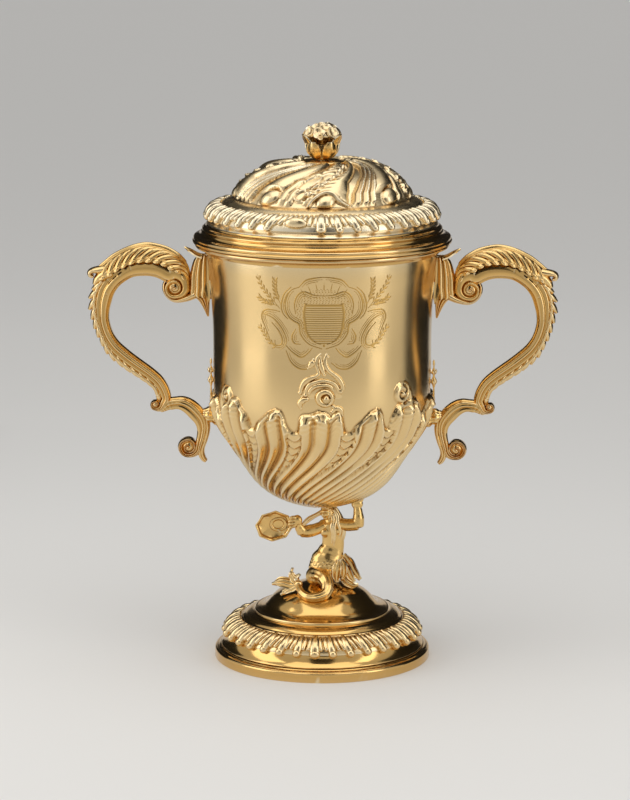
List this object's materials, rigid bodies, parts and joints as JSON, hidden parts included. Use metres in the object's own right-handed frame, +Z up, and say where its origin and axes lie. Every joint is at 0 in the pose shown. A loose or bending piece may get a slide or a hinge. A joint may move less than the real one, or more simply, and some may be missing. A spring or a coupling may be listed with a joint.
{
  "type": "covered cup",
  "caption": "Two-handled covered cup in silver gilt on a mermaid stem, with scroll handles, gadrooned borders, a fluted lower bowl and a flower finial.",
  "frame": {"origin": "centre of the underside of the foot", "axes": "+Z up through the finial, +X through the right handle, front faces -Y"},
  "size_m": [0.3282, 0.18, 0.379],
  "materials": {
    "gilt_polished": "fire-gilt silver, polished to a mirror",
    "gilt_satin": "fire-gilt silver, softly burnished and chased",
    "gilt_cast": "fire-gilt cast silver, chased, with darker recesses"
  },
  "bodies": {
    "cup": {"foot_rim": "gilt_polished", "foot_dome": "gilt_polished", "stem_stud": "gilt_polished", "stem_washer": "gilt_polished", "stem_nut": "gilt_polished", "bowl_boss": "gilt_polished", "mermaid_shell": "gilt_polished", "lip_moulding": "gilt_polished", "left_handle_scroll": "gilt_polished", "left_handle_lower_scroll": "gilt_polished", "right_handle_scroll": "gilt_polished", "right_handle_lower_scroll": "gilt_polished", "bowl": "gilt_satin", "foot_gadroon_band": "gilt_cast", "mermaid_body": "gilt_cast", "mermaid_shell_arm": "gilt_cast", "mermaid_raised_arm": "gilt_cast", "mermaid_tail": "gilt_cast", "tail_fin": "gilt_cast", "hip_fin": "gilt_cast", "left_handle_leaf": "gilt_cast", "left_handle_upper_mount": "gilt_cast", "left_handle_lower_stub": "gilt_cast", "left_bud_sprig": "gilt_cast", "right_handle_leaf": "gilt_cast", "right_handle_upper_mount": "gilt_cast", "right_handle_lower_stub": "gilt_cast", "right_bud_sprig": "gilt_cast"},
    "cover": {"cover_bezel": "gilt_polished", "cover_flange": "gilt_polished", "cover_dome": "gilt_satin", "cover_gadroon_band": "gilt_cast", "finial_plate": "gilt_polished", "finial_calyx": "gilt_cast", "finial_bud": "gilt_cast", "finial_stud": "gilt_polished", "finial_nut": "gilt_polished"}
  },
  "joints": [
    {"name": "cover_lift", "type": "slide", "parent": "cup", "child": "cover", "axis": [0, 0, 1], "range_m": [0, 0.12]}
  ]
}
